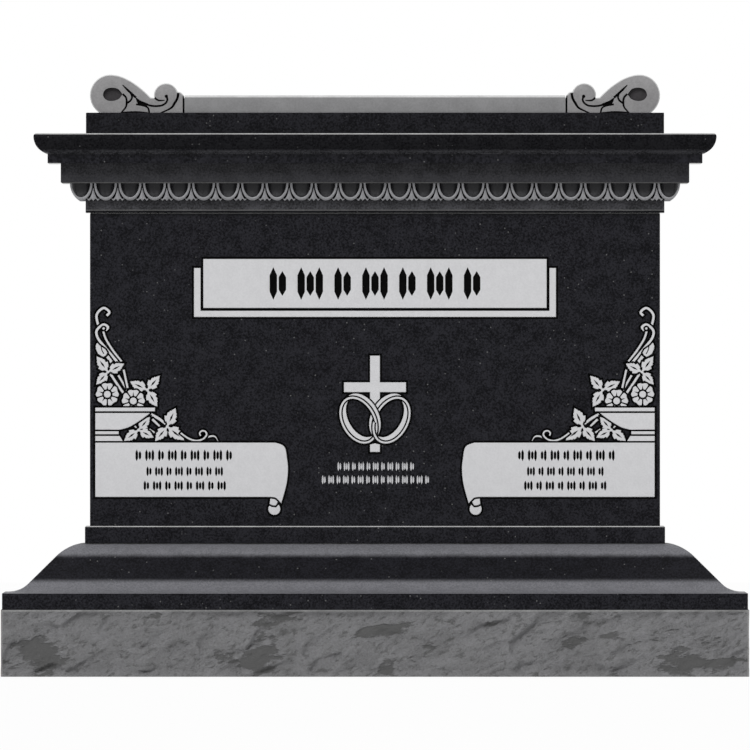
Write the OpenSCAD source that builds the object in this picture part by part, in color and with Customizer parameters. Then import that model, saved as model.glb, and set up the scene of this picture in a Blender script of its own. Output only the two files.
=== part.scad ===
// A family monument of five granite stones that rest on one another by their own weight:
// a rock-pitched base, a moulded base, the die, a cornice and a crest.
// Millimetres, +Z up. The front faces -Y and the origin is the middle of the underside.
// Each moulding is given by how far it stands out from the faces of the die, on all four sides.

/* [Die] */
// Width of the die, the main tablet
die_w = 1710; // [1425:5:2100]
// Thickness of the die from front to back
die_d = 300; // [240:5:420]
// Height of the die
die_h = 940; // [780:5:1200]

/* [Rock-pitched base] */
// Height of the rock-pitched base
base_h = 200; // [150:5:300]
// How far its pitched line stands out from the die
base_out = 265; // [200:1:330]
// How deep the split faces fall back between the pitched lines
pitch_depth = 20; // [6:1:30]
// Width of one split facet
pitch_step = 62; // [40:1:120]
// Number of rows of split facets
pitch_rows = 4; // [3:1:6]

/* [Moulded base] */
// Height of the plinth
plinth_h = 50; // [30:1:90]
// How far the plinth stands out from the die
plinth_out = 261; // [180:1:320]
// Height of the ogee
ogee_h = 149; // [120:1:200]
// How far the foot of the ogee stands out from the die
ogee_out = 253; // [170:1:315]
// How far the top of the ogee stands out from the die
ogee_top_out = 7; // [0:1:14]
// Radius of the hollow at the foot of the ogee
ogee_hollow_r = 100; // [40:1:115]
// Radius of the round at the top of the ogee
ogee_round_r = 132; // [40:1:140]
// Height of the fillet under the die
fillet_h = 51; // [20:1:90]
// How far that fillet stands out from the die
fillet_out = 15; // [8:1:40]

/* [Cornice] */
// Height of the neck fillet over the die
neck_h = 25; // [10:1:50]
// How far the neck fillet stands out from the die
neck_out = 13; // [6:1:30]
// Height of the carved ovolo
ovolo_h = 63; // [45:1:90]
// How far the top of the ovolo stands out from the die
ovolo_out = 60; // [50:1:80]
// Height of the corona
corona_h = 60; // [40:1:90]
// How far the corona stands out from the die
corona_out = 87; // [76:1:110]
// Height of the fillet under the crown round
crown_fillet_h = 27; // [12:1:50]
// How far that fillet stands out from the die
crown_fillet_out = 126; // [112:1:150]
// Height of the crown round
crown_h = 62; // [50:1:90]
// How far the crown round stands out from the die
crown_out = 168; // [160:1:210]
// Radius of the crown round
crown_r = 54; // [30:1:54]
// Radius of the eased edge on top of the crown round
crown_edge_r = 5; // [2:1:10]

/* [Egg and dart] */
// Number of eggs between the corner eggs, along the front
eggs_long = 23; // [17:2:31]
// Number of eggs between the corner eggs, along a side
eggs_short = 4; // [2:1:8]
// Width of an egg
egg_w = 55; // [40:1:60]
// Height of an egg
egg_h = 42; // [30:1:44]
// Thickness of the shell round an egg at its sides
shell_side = 6; // [3:1:7]
// Thickness of the shell under an egg
shell_foot = 10; // [5:1:11]
// How deep the ground between the carvings is sunk
egg_relief = 12; // [5:1:18]
// Width of a dart at its foot
dart_w = 40; // [20:1:44]
// Height of a dart
dart_h = 40; // [24:1:42]
// Height of the plain band under the carving
dart_foot = 10; // [4:1:14]

/* [Crest] */
// Height of the blocking course
blocking_h = 63; // [40:1:90]
// How far the blocking course stands out from the die
blocking_out = 12; // [0:1:60]
// Height of the rail over the blocking course
rail_h = 52; // [30:1:54]
// Thickness of the rail and scrolls from front to back
crest_d = 296; // [200:1:310]
// Radius of the large scroll
scroll_r = 60; // [50:1:66]
// Height of the middle of the large scroll over the blocking course
scroll_up = 52; // [40:1:56]
// Radius of the small scroll
curl_r = 35; // [28:1:40]
// Distance between the middles of the two scrolls
curl_across = 166; // [150:1:180]
// Height of the middle of the small scroll over the blocking course
curl_up = 52; // [44:1:60]
// Distance from the middle of the small scroll to the end of its block
block_end = 56; // [50:1:70]
// Width of the carved lines on the scrolls
scroll_line = 5; // [3:1:8]
// Depth of the carved lines on the scrolls
scroll_cut = 6; // [2:1:10]
// Depth of the eye of the large scroll
eye_cut = 22; // [8:1:40]

/* [Name panel] */
// Width of the front panel
panel_w = 1030; // [800:5:1080]
// Height of the front panel
panel_h = 147; // [100:1:170]
// Distance from the top of the die to the front panel
panel_drop = 139; // [80:1:160]
// How far the back panel shows past each end of the front one
panel_wing = 28; // [10:1:40]
// How far the back panel sits lower than the front one
panel_lower = 27; // [10:1:40]
// Height of the strokes in the name panel
name_h = 99; // [60:1:110]
// Length of the row of strokes in the name panel
name_w = 680; // [400:5:760]

/* [Banners and urns] */
// Distance from the edge of the die to the banner and urn
banner_edge = 16; // [8:1:30]
// Height of the foot of the banner over the foot of the die
banner_up = 87; // [60:1:110]
// Height of the banner
banner_h = 163; // [140:1:180]
// Length of the banner
banner_w = 578; // [520:1:600]
// Radius of the flowers
flower_r = 36; // [28:1:38]
// Number of petals in a flower
petals = 5; // [4:1:8]
// Width of the stems
stem_w = 7; // [4:1:9]

/* [Cross and rings] */
// Height of the foot of the cross over the foot of the die
cross_up = 222; // [200:1:260]
// Height of the cross
cross_h = 290; // [240:1:300]
// Width of the cross
cross_w = 188; // [140:1:200]
// Thickness of the bars of the cross
cross_bar = 30; // [20:1:40]
// Distance from the top of the cross to its cross bar
cross_drop = 81; // [60:1:100]
// Half length of a ring
ring_long = 81; // [70:1:84]
// Half width of a ring
ring_wide = 54; // [46:1:58]
// Width of the rim of a ring
ring_band = 6; // [4:1:8]
// How far the far rim of a ring shows towards the middle
ring_tube = 9; // [7:1:11]
// How far the far rim of a ring shows above the near one
ring_rise = 4; // [2:1:5]
// How far the rings lean outwards, in degrees
ring_lean = 28; // [20:1:32]
// Distance from the middle of the cross to the middle of a ring
ring_off = 45; // [40:1:50]

/* [Carving] */
// Depth of the carving on the face of the die
carve_cut = 4; // [2:0.5:8]
// Width of the sunk outline round each carved form
outline_w = 4; // [2:0.5:6]
// Depth of the strokes that fill the place of an inscription
stroke_cut = 3; // [1:0.5:5]

/* [Hidden] */

$fn = 48;
round_steps = 9;
past = 1;

base_w = die_w + 2 * base_out;
base_d = die_d + 2 * base_out;
moulded_z = base_h;
ogee_z = moulded_z + plinth_h;
fillet_z = ogee_z + ogee_h;
die_z = fillet_z + fillet_h;
neck_z = die_z + die_h;
ovolo_z = neck_z + neck_h;
corona_z = ovolo_z + ovolo_h;
crown_fillet_z = corona_z + corona_h;
crown_z = crown_fillet_z + crown_fillet_h;
crest_z = crown_z + crown_h;
scroll_z = crest_z + blocking_h;
face_y = -die_d / 2;

pitch_long = 2 * (die_w / 2 + ovolo_out - egg_w / 2 - shell_side + 1) / (eggs_long + 1);
pitch_short = 2 * (die_d / 2 + ovolo_out - egg_w / 2 - shell_side + 1) / (eggs_short + 1);

scroll_x = -(die_w / 2 - scroll_r);
curl_x = scroll_x + curl_across;
block_x = curl_x + block_end;

panel_top = die_z + die_h - panel_drop;
banner_x = -die_w / 2 + banner_edge;
banner_top = die_z + banner_up + banner_h;
cross_z = die_z + cross_up;
ring_z = cross_z + 100;

// Points along an arc from angle a to angle b
function arc(x, z, r, a, b, steps = round_steps) =
    [for (i = [0 : steps]) let (t = a + (b - a) * i / steps) [x + r * cos(t), z + r * sin(t)]];

// Points along a cubic curve from p to s, pulled towards q and r
function curve(p, q, r, s, steps = round_steps) =
    [for (i = [0 : steps]) let (t = i / steps, u = 1 - t)
        u * u * u * p + 3 * u * u * t * q + 3 * u * t * t * r + t * t * t * s];

// A ribbon of width w along points, thinner at its end when thin is under 1
function side_of(p, i) = let (
        a = p[max(i - 1, 0)], b = p[min(i + 1, len(p) - 1)], d = b - a) [-d[1], d[0]] / norm(d);
function ribbon(p, w, thin = 1) = let (n = len(p) - 1) concat(
    [for (i = [0 : n]) p[i] + side_of(p, i) * w / 2 * (1 - (1 - thin) * i / n)],
    [for (i = [n : -1 : 0]) p[i] - side_of(p, i) * w / 2 * (1 - (1 - thin) * i / n)]);

// A moulding that runs round all four sides: one right-hand profile, its x measured from the die's
// face, carried along both directions and mitred where the two meet
module moulding(profile) {
    intersection() {
        rotate([90, 0, 0]) linear_extrude(2 * die_w + 2 * die_d, center = true)
            both_sides(profile, die_w / 2);
        rotate([90, 0, 90]) linear_extrude(2 * die_w + 2 * die_d, center = true)
            both_sides(profile, die_d / 2);
    }
}

module both_sides(profile, half) {
    n = len(profile) - 1;
    polygon(concat(
        [for (p = profile) [half + p[0], p[1]]],
        [for (i = [n : -1 : 0]) [-half - profile[i][0], profile[i][1]]]));
}

// A flat shape drawn as the front shows it, cut or raised by depth behind the plane y
module at_front(y, depth) {
    translate([0, y, 0]) rotate([90, 0, 0]) linear_extrude(depth) children();
}

module both_hands() {
    children();
    mirror([1, 0, 0]) children();
}

// ---- the rock-pitched base ----

// How far the split face lies back at one place: nothing at the pitched lines, more between them
function lie_back(i, j) = j == 0 || j == pitch_rows ? 0
    : pitch_depth * (0.5 + 0.28 * sin(i * 131 + j * 71) + 0.22 * sin(i * 67 - j * 173));

function ring_at(z, j) = let (
        nx = round(base_w / pitch_step), ny = round(base_d / pitch_step),
        hx = base_w / 2, hy = base_d / 2) concat(
    [for (i = [0 : nx - 1]) [-hx + base_w * i / nx + (i == 0 ? lie_back(i, j) / 2 : 0),
        -hy + lie_back(i, j) * (i == 0 ? 0.5 : 1), z]],
    [for (i = [0 : ny - 1]) [hx - lie_back(nx + i, j) * (i == 0 ? 0.5 : 1),
        -hy + base_d * i / ny + (i == 0 ? lie_back(nx, j) / 2 : 0), z]],
    [for (i = [0 : nx - 1]) [hx - base_w * i / nx - (i == 0 ? lie_back(nx + ny, j) / 2 : 0),
        hy - lie_back(nx + ny + i, j) * (i == 0 ? 0.5 : 1), z]],
    [for (i = [0 : ny - 1]) [-hx + lie_back(2 * nx + ny + i, j) * (i == 0 ? 0.5 : 1),
        hy - base_d * i / ny - (i == 0 ? lie_back(2 * nx + ny, j) / 2 : 0), z]]);

module rock_base() color([0.42, 0.42, 0.43]) {
    levels = [for (j = [0 : pitch_rows])
        j == 0 ? -past : j == pitch_rows ? base_h + past : base_h * j / pitch_rows];
    rings = [for (j = [0 : pitch_rows]) ring_at(levels[j], j)];
    n = len(rings[0]);
    foot = (pitch_rows + 1) * n;
    intersection() {
        polyhedron(
            points = concat([for (r = rings) for (p = r) p],
                [[0, 0, levels[0]], [0, 0, levels[pitch_rows]]]),
            faces = concat(
                [for (j = [0 : pitch_rows - 1]) for (i = [0 : n - 1]) let (k = (i + 1) % n)
                    for (f = (i + j) % 2 == 0
                        ? [[j * n + i, (j + 1) * n + i, (j + 1) * n + k],
                            [j * n + i, (j + 1) * n + k, j * n + k]]
                        : [[j * n + i, (j + 1) * n + i, j * n + k],
                            [(j + 1) * n + i, (j + 1) * n + k, j * n + k]]) f],
                [for (i = [0 : n - 1]) [foot, i, (i + 1) % n]],
                [for (i = [0 : n - 1])
                    [foot + 1, pitch_rows * n + (i + 1) % n, pitch_rows * n + i]]));
        translate([-base_w, -base_d, 0]) cube([2 * base_w, 2 * base_d, base_h]);
    }
}

// ---- the moulded base ----

module moulded_base() color([0.13, 0.13, 0.14]) {
    run = ogee_out - ogee_top_out;
    over = ogee_hollow_r + ogee_round_r - ogee_h;
    // The slope of the line that touches both the hollow and the round
    slope = asin((ogee_hollow_r + ogee_round_r) / norm([run, over])) - atan2(over, run);
    moulding(concat(
        [[plinth_out, moulded_z], [plinth_out, ogee_z]],
        arc(ogee_out, ogee_z + ogee_hollow_r, ogee_hollow_r, 270, 270 - slope),
        arc(ogee_top_out, fillet_z - ogee_round_r, ogee_round_r, 90 - slope, 90),
        [[fillet_out, fillet_z], [fillet_out, die_z]]));
}

// ---- the die and its carved front ----

// One lobed leaf from its stalk towards +X
leaf_side = [[0.17, 0.07], [0.24, 0.19], [0.42, 0.35], [0.5, 0.23], [0.64, 0.24], [0.85, 0.11]];
module leaf(length) {
    n = len(leaf_side) - 1;
    difference() {
        polygon(length * concat([[0, 0.03]], leaf_side, [[1, 0]],
            [for (i = [n : -1 : 0]) [leaf_side[i][0], -leaf_side[i][1]]], [[0, -0.03]]));
        polygon(length * [[0.28, 0], [0.5, 0.03], [0.8, 0], [0.5, -0.03]]);
    }
}

// Leaves on one stalk, each given by its length and its direction in degrees
module leaves(x, z, sizes) {
    translate([x, z]) for (s = sizes) rotate(s[1]) translate([2, 0]) leaf(s[0] - 2);
}

// A flower of petals round a button
module flower(x, z) {
    button_r = flower_r * 0.27;
    translate([x, z]) {
        difference() {
            circle(flower_r);
            circle(button_r + outline_w / 2);
            // A long line between two petals, and a short one along the middle of each
            for (i = [0 : petals - 1]) {
                rotate(-90 + i * 360 / petals)
                    translate([0, -outline_w / 4]) square([flower_r + past, outline_w / 2]);
                rotate(90 + i * 360 / petals)
                    translate([0, -outline_w / 4]) square([flower_r * 0.6, outline_w / 2]);
            }
        }
        circle(button_r);
    }
}

// A stem along a cubic curve, and a crozier whose head turns round (x, z) and ends in a stalk
module stem(p, q, r, s, thin = 1) {
    polygon(ribbon(curve(p, q, r, s, 4), stem_w, thin));
}
module crozier(x, z, r, a, b, stalk) {
    polygon(ribbon(concat(arc(x, z, r, a, b, 6), stalk), stem_w));
}

// The left urn with its flowers, its z counted from the top of the banner
module urn() {
    difference() {
        union() {
            // Rim, bowl, ring and foot of the half urn
            translate([0, 95]) square([179, 11]);
            polygon(concat([[0, 39], [0, 91]], curve([167, 91], [146, 66], [112, 44], [73, 39], 5)));
            translate([0, 26]) square([70, 9]);
            polygon([[0, 5], [82, 5], [74, 21], [0, 21]]);
            // Flowers over the rim
            flower(36, 146);
            difference() {
                flower(113, 125);
                translate([70, 60]) square([90, 51]);
            }
            // Leaves over the rim and under the bowl
            leaves(38, 214, [[56, 130], [52, 25], [51, 226]]);
            leaves(156, 159, [[58, 154], [58, 46], [60, -57]]);
            leaves(129, 40, [[51, 44], [53, 218], [50, -28]]);
            leaves(215, 49, [[57, 65], [55, 232], [65, -41]]);
            leaves(23, 257, [[48, 116]]);
            // Two croziers, a trailing tendril and the straight stems
            crozier(21, 387, 16, -25, 180, [[7, 358]]);
            crozier(21, 339, 16, -10, 180, curve([5, 334], [5, 308], [45, 275], [67, 246], 4));
            crozier(327, 23, 10, 215, 0, curve([336, 18], [326, 2], [276, 8], [258, 33], 4));
            stem([18, 341], [30, 318], [60, 275], [76, 246]);
            stem([84, 218], [90, 200], [95, 182], [98, 166]);
            stem([44, 209], [60, 196], [76, 172], [84, 155]);
            stem([71, 203], [80, 190], [88, 175], [93, 165]);
            stem([36, 258], [42, 252], [46, 246], [50, 240]);
            stem([169, 86], [190, 78], [204, 64], [213, 52]);
            stem([170, 72], [180, 68], [189, 60], [194, 50]);
            stem([330, 14], [346, 26], [358, 20], [366, 8], 0.3);
        }
        translate([-100, 0]) square([100, 500]);
    }
}

// The left banner, its z counted from its top edge, with its rolled lower corner
module banner() {
    polygon(concat(
        [[0, -banner_h], [0, 0]],
        curve([banner_w - 36, 0], [banner_w - 8, 0], [banner_w - 1, -30], [banner_w, -71], 6),
        curve([banner_w, -77], [banner_w, -120], [banner_w - 10, -152],
            [banner_w - 18, -banner_h - 19], 5),
        curve([banner_w - 24, -banner_h - 13], [banner_w - 30, -banner_h - 5],
            [banner_w - 40, -banner_h], [banner_w - 55, -banner_h], 4)));
    translate([banner_w - 40, -banner_h - 34]) difference() {
        circle(19);
        circle(8);
    }
    translate([banner_w - 58, -banner_h - 23]) square([26, 19]);
}

// One ring of the pair, a short tube seen a little askew: its near rim, and what shows of its far one
module hoop(inset) {
    rotate(ring_lean) scale([(ring_wide - inset) / (ring_long - inset), 1]) circle(ring_long - inset);
}
module ring() {
    gap = outline_w / 2;
    translate([-ring_off, ring_z]) {
        difference() {
            hoop(0);
            hoop(ring_band);
        }
        difference() {
            translate([ring_tube, ring_rise]) hoop(0);
            translate([ring_tube, ring_rise]) hoop(ring_band);
            difference() {
                hoop(-gap);
                hoop(ring_band + gap);
            }
        }
    }
}

module cross() {
    translate([-cross_bar / 2, cross_z]) square([cross_bar, cross_h]);
    translate([-cross_w / 2, cross_z + cross_h - cross_drop - cross_bar])
        square([cross_w, cross_bar]);
}

module panels() {
    translate([-panel_w / 2, panel_top - panel_h]) square([panel_w, panel_h]);
    difference() {
        translate([-panel_w / 2 - panel_wing, panel_top - panel_h - panel_lower])
            square([panel_w + 2 * panel_wing, panel_h]);
        translate([-panel_w / 2 - outline_w, panel_top - panel_h - outline_w])
            square([panel_w + 2 * outline_w, panel_h + 2 * outline_w]);
    }
}

module carved_forms() {
    panels();
    both_hands() translate([banner_x, banner_top]) {
        banner();
        urn();
    }
    difference() {
        cross();
        both_hands() translate([-ring_off, ring_z]) rotate(ring_lean)
            scale([(ring_wide + outline_w) / (ring_long + outline_w), 1])
                circle(ring_long + outline_w);
    }
    both_hands() ring();
}

// The sunk ground: a line round every form, and the narrow places between forms
module carved_ground() {
    offset(delta = -0.2) difference() {
        offset(delta = -outline_w) offset(delta = 2 * outline_w, chamfer = true)
            carved_forms($fn = 20);
        carved_forms($fn = 20);
    }
}

// A row of pointed chisel strokes, two or three to a group, that fills the place of an inscription
module stroke_row(x, z, width, height, groups) {
    step = width / groups;
    for (i = [0 : groups - 1]) {
        n = 2 + i % 2;
        for (k = [0 : n - 1]) {
            h = height / 2 * (k == 1 ? 0.76 : 1);
            w = step * 0.095;
            translate([x + (i + 0.5) * step + (k - (n - 1) / 2) * step * 0.28, z])
                polygon([[0, -h], [w, -h / 2], [w, h / 2], [0, h], [-w, h / 2], [-w, -h / 2]]);
        }
    }
}

module stroke_rows() {
    stroke_row(-name_w / 2, panel_top - panel_h / 2, name_w, name_h, 7);
    both_hands() translate([banner_x, banner_top]) {
        stroke_row(112, -38, 306, 36, 9);
        stroke_row(146, -86, 240, 31, 8);
        stroke_row(137, -129, 258, 31, 8);
    }
    stroke_row(-118, cross_z - 43, 240, 28, 11);
    stroke_row(-165, cross_z - 83, 332, 28, 15);
}

module die() color([0.11, 0.11, 0.12]) {
    difference() {
        translate([-die_w / 2, face_y, die_z]) cube([die_w, die_d, die_h]);
        at_front(face_y + carve_cut, carve_cut + past) carved_ground();
        at_front(face_y + stroke_cut, stroke_cut + past) stroke_rows();
    }
}

// ---- the cornice ----

// The end of the quarter round under the corona, half wide, and sunk by s
module ovolo_end(half, s) {
    intersection() {
        union() {
            for (side = [-1, 1]) translate([side * (half + ovolo_out - ovolo_h - s / 2), corona_z])
                circle(ovolo_h - s / 2);
            translate([-half, neck_z]) square([2 * half, corona_z - neck_z]);
        }
        translate([-2 * half, ovolo_z]) square([4 * half, ovolo_h]);
    }
}

// An egg's outline: straight at the sides and round below, its flat top on z = 0
module egg_edge(w, h) {
    translate([-w / 2, w / 2 - h]) square([w, h - w / 2]);
    translate([0, w / 2 - h]) circle(w / 2);
}

// One egg, its shell and the dart beside it, as the front shows them
module egg_and_dart(pitch) {
    egg_edge(egg_w, egg_h);
    difference() {
        egg_edge(egg_w + 2 * shell_side + 2, egg_h + shell_foot + 1);
        egg_edge(egg_w + 2, egg_h + 1);
    }
    translate([pitch / 2, dart_foot - ovolo_h]) polygon([
        [0, dart_h], [dart_w * 0.09, dart_h * 0.6], [dart_w / 2, 0], [dart_w * 0.28, dart_h * 0.1],
        [0, 0], [-dart_w * 0.28, dart_h * 0.1], [-dart_w / 2, 0], [-dart_w * 0.09, dart_h * 0.6]]);
}

// The carvings along one side, cut to the mitres at its ends
module egg_run(half_w, half_d, eggs, pitch) {
    reach = half_w + corona_out;
    out = half_d + corona_out;
    intersection() {
        rotate([90, 0, 90]) linear_extrude(2 * reach, center = true) ovolo_end(half_d, 0);
        translate([0, -half_d, corona_z]) rotate([90, 0, 0]) linear_extrude(ovolo_out + past)
            for (i = [0 : eggs + 1]) translate([(i - (eggs + 1) / 2) * pitch, 0])
                egg_and_dart(pitch);
        translate([0, 0, ovolo_z - past]) linear_extrude(ovolo_h + 2 * past) polygon([
            [-half_w, -half_d], [-half_w - corona_out, -out],
            [half_w + corona_out, -out], [half_w, -half_d]]);
    }
}

module cornice() color([0.12, 0.12, 0.13]) {
    crown_x = crown_out - crown_r;
    crown_up = crest_z - crown_edge_r;
    crown_tuck = asin((crown_fillet_out - crown_x) / crown_r);
    moulding(concat(
        [[neck_out, neck_z], [neck_out, ovolo_z]],
        [[neck_out, corona_z], [corona_out, corona_z], [corona_out, crown_fillet_z],
            [crown_fillet_out, crown_fillet_z], [crown_fillet_out, crown_z]],
        arc(crown_x, crown_up, crown_r, crown_tuck - 90, 0),
        arc(crown_out - crown_edge_r, crown_up, crown_edge_r, 0, 90, 4)));
    intersection() {
        rotate([90, 0, 0]) linear_extrude(2 * die_w, center = true)
            ovolo_end(die_w / 2, 2 * egg_relief);
        rotate([90, 0, 90]) linear_extrude(2 * die_w, center = true)
            ovolo_end(die_d / 2, 2 * egg_relief);
    }
    for (turn = [0, 180]) rotate(turn) egg_run(die_w / 2, die_d / 2, eggs_long, pitch_long);
    for (turn = [90, 270]) rotate(turn) egg_run(die_d / 2, die_w / 2, eggs_short, pitch_short);
}

// ---- the crest ----

// The left scroll, its z counted from the top of the blocking course
module scroll_outline() {
    translate([scroll_x, scroll_up]) circle(scroll_r);
    translate([curl_x, curl_up]) circle(curl_r);
    polygon(concat(
        [[scroll_x - scroll_r * 0.44, 0], [scroll_x, scroll_up]],
        curve([scroll_x + 8, scroll_up + scroll_r - 1], [scroll_x + 40, scroll_up + scroll_r - 4],
            [scroll_x + 80, scroll_up + 34], [scroll_x + 120, scroll_up - 7]),
        curve([curl_x - curl_r + 2, curl_up - 8], [curl_x - 24, curl_up - 12],
            [curl_x, curl_up], [curl_x + 20, curl_up + 28]),
        arc(block_x - 20, curl_up - 6, 17, 90, 0, 4),
        [[block_x, curl_up - 10], [block_x, 0]]));
}

// The carved lines of the left scroll
module scroll_lines() {
    line = scroll_line;
    polygon(ribbon(curve([scroll_x + 37, scroll_up + 34], [scroll_x + 62, scroll_up + 4],
        [scroll_x + 88, scroll_up - 12], [scroll_x + 112, scroll_up - 24]), line));
    polygon(ribbon(curve([scroll_x + 112, scroll_up - 24], [curl_x - 30, curl_up - 36],
        [curl_x + 2, curl_up - 30], [curl_x + 2, curl_up - 4]), line));
    polygon(ribbon(curve([scroll_x + 34, scroll_up + 2], [scroll_x + 52, scroll_up - 8],
        [scroll_x + 50, scroll_up - 36], [scroll_x + 34, 2]), line));
    polygon(ribbon(curve([scroll_x + 62, scroll_up + 8], [scroll_x + 68, scroll_up - 8],
        [scroll_x + 60, scroll_up - 20], [scroll_x + 46, scroll_up - 26]), line));
    polygon(ribbon(curve([curl_x + 37, curl_up + 6], [curl_x + 34, curl_up - 26],
        [curl_x + 12, 8], [curl_x - 10, 3]), line));
    polygon(ribbon([[block_x - 5, curl_up - 4], [block_x - 5, 2]], line));
}

// The tear-shaped eye of the large scroll
module scroll_eye() {
    polygon(concat(
        curve([scroll_x + 34, scroll_up + 2], [scroll_x + 20, scroll_up + 30],
            [scroll_x - 24, scroll_up + 26], [scroll_x - 24, scroll_up + 2]),
        curve([scroll_x - 24, scroll_up], [scroll_x - 24, scroll_up - 22],
            [scroll_x + 20, scroll_up - 22], [scroll_x + 34, scroll_up + 1])));
}

module crest() color([0.4, 0.4, 0.41]) {
    moulding([[blocking_out, crest_z], [blocking_out, scroll_z]]);
    translate([block_x - past, -crest_d / 2, scroll_z])
        cube([-2 * (block_x - past), crest_d, rail_h]);
    both_hands() difference() {
        translate([0, 0, scroll_z]) at_front(crest_d / 2, crest_d) intersection() {
            scroll_outline();
            translate([-die_w, 0]) square([2 * die_w, 2 * scroll_r + scroll_up]);
        }
        for (turn = [0, 1]) mirror([0, turn, 0]) translate([0, 0, scroll_z]) {
            at_front(scroll_cut - crest_d / 2, scroll_cut + past) scroll_lines();
            at_front(eye_cut - crest_d / 2, eye_cut + past) scroll_eye();
        }
    }
}

rock_base();
moulded_base();
die();
cornice();
crest();
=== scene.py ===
import math

import bmesh
import bpy
from mathutils import Matrix, Vector, geometry, noise


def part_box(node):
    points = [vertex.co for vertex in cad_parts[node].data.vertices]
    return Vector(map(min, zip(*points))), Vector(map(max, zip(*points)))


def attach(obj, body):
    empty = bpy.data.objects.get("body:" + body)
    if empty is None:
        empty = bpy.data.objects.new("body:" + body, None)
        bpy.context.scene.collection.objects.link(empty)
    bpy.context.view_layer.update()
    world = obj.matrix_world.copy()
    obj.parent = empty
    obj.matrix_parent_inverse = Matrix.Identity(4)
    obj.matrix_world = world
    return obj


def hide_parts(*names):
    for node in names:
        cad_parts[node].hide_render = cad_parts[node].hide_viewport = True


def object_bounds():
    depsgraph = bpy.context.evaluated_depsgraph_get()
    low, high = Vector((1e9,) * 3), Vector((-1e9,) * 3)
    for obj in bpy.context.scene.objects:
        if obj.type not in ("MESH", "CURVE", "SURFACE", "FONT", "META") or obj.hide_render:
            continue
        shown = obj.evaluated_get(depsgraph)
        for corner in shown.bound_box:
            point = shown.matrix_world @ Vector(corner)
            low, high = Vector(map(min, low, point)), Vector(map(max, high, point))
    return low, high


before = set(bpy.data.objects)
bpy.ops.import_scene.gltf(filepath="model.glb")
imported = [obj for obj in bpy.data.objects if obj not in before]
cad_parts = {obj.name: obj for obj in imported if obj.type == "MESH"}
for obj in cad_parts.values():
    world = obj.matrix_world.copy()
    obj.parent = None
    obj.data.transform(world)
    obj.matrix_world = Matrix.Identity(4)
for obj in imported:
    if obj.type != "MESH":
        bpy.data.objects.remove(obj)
cad_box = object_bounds()


# ---- The rock-pitched base ----
# The bottom stone: a block of grey granite with sawn beds and four split sides. A mason strikes along
# the pitched lines at its top and foot, and the faces break away between them in slanting flakes.


class Wire:
    """One output of a material's node, on which sums are written as they are said."""

    def __init__(self, tree, socket):
        self.tree = tree
        self.socket = socket

    def node(self, kind, settings, inputs, output=0):
        made = self.tree.nodes.new(kind)
        for name, value in settings.items():
            setattr(made, name, value)
        for name, value in inputs.items():
            if isinstance(value, Wire):
                self.tree.links.new(value.socket, made.inputs[name])
            else:
                made.inputs[name].default_value = value
        return Wire(self.tree, made.outputs[output])

    def sum(self, operation, first, second):
        return self.node("ShaderNodeMath", {"operation": operation}, {0: first, 1: second})

    def __add__(self, other):
        return self.sum("ADD", self, other)

    def __radd__(self, other):
        return self.sum("ADD", other, self)

    def __sub__(self, other):
        return self.sum("SUBTRACT", self, other)

    def __rsub__(self, other):
        return self.sum("SUBTRACT", other, self)

    def __mul__(self, other):
        return self.sum("MULTIPLY", self, other)

    def __rmul__(self, other):
        return self.sum("MULTIPLY", other, self)

    def step(self, start, end):
        """0 before start, 1 after end and smooth between them"""
        settings = {"interpolation_type": "SMOOTHSTEP"}
        return self.node("ShaderNodeMapRange", settings, {"Value": self, "From Min": start, "From Max": end})

    def between(self, first, second):
        """The first colour where this is 0 and the second where it is 1"""
        return self.node("ShaderNodeMix", {"data_type": "RGBA"}, {0: self, 6: first, 7: second}, 2)


def tone(level, warmth=0.0, blue=0.0):
    """A grey of 0 to 255 as a colour, a little warmer or bluer when asked"""
    def linear(value):
        value = value / 255
        return value / 12.92 if value < 0.04045 else ((value + 0.055) / 1.055) ** 2.4
    return (linear(level + warmth), linear(level), linear(level + blue), 1)


# How granite varies: its crystals, how far blotches and crystals move its tone, how far the edge of a
# band wavers, its bright specks, and the smooth patches and the ridges of a split face
crystals_per_metre = 165.0
blotch_strength, crystal_strength = 1.2, 3.2
band_waver = 0.005
specks_per_metre = 95.0
rarest_speck, speck_reach = 0.93, 0.26
patch_size = (0.22, 0.22, 0.085)
ridge_size = (0.034, 0.034, 0.017)


def banded(colour, share, height, bands):
    """A colour with zones by height. Each band gives where it starts and ends, its tone and its blur."""
    for low, high, shade, blur in bands:
        inside = height.step(low - blur, low + blur) * height.step(high + blur, high - blur)
        darker, lighter = [c * 0.4 for c in shade], [c * 1.7 for c in shade]
        colour = inside.between(colour, share.between(darker, lighter))
    return colour


def flaked(colour, crystals, place, rare, shade, slant):
    """The colour and relief of a split face, where dark ridges lean at a slant and smooth patches lie
    between them. The patches are painted dark, as painted shade of the chipped facets. Rare says how few
    the patches are, and shade is their tone."""
    flat = place.node("ShaderNodeMapping", {"vector_type": "TEXTURE"}, {
        "Vector": place, "Rotation": (0, slant * 0.3, 0), "Scale": patch_size})
    leaning = place.node("ShaderNodeMapping", {"vector_type": "TEXTURE"}, {
        "Vector": place, "Rotation": (0, slant, 0), "Scale": ridge_size})
    patches = place.node("ShaderNodeTexNoise", {}, {
        "Vector": flat, "Scale": 1.0, "Detail": 6.0, "Roughness": 0.62, "Distortion": 0.2})
    ridges = place.node("ShaderNodeTexNoise", {}, {
        "Vector": leaning, "Scale": 1.0, "Detail": 6.0, "Roughness": 0.75, "Distortion": 0.3})
    # The smooth patches take a darker tone: painted shade of the chipped facets
    smooth = patches.step(rare, rare + 0.045)
    colour = ridges.step(0.34, 0.50).between(tone(shade + 6), colour)
    colour = smooth.between(colour, tone(shade))
    return colour, crystals * 0.7 + ridges * (1 - smooth * 0.7) * 2 + patches


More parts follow.
